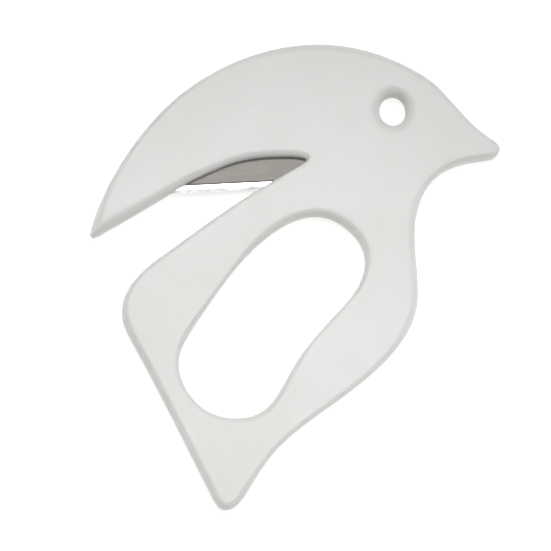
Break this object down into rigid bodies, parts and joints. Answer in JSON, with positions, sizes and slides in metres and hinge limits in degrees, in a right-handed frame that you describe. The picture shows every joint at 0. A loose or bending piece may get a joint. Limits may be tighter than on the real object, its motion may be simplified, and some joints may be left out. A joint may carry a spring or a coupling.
{
  "type": "package opener",
  "caption": "Flat bird-shaped hand opener for letters and packages: two moulded halves joined round a fixed blade in the slot under the wing, with a finger hole.",
  "frame": {"origin": "centre of the outline's bounding box, on the flat rear face that the opener lies on", "axes": "+Z through the thickness from the rear face to the front face, +X towards the beak, +Y towards the crown"},
  "size_m": [0.0824, 0.0944, 0.005],
  "materials": {
    "front_shell": "satin moulded",
    "rear_shell": "satin moulded",
    "blade": "ground, with a bright bevel"
  },
  "bodies": {
    "root": {"front_shell": "front_shell", "rear_shell": "rear_shell", "blade": "blade"}
  },
  "joints": []
}
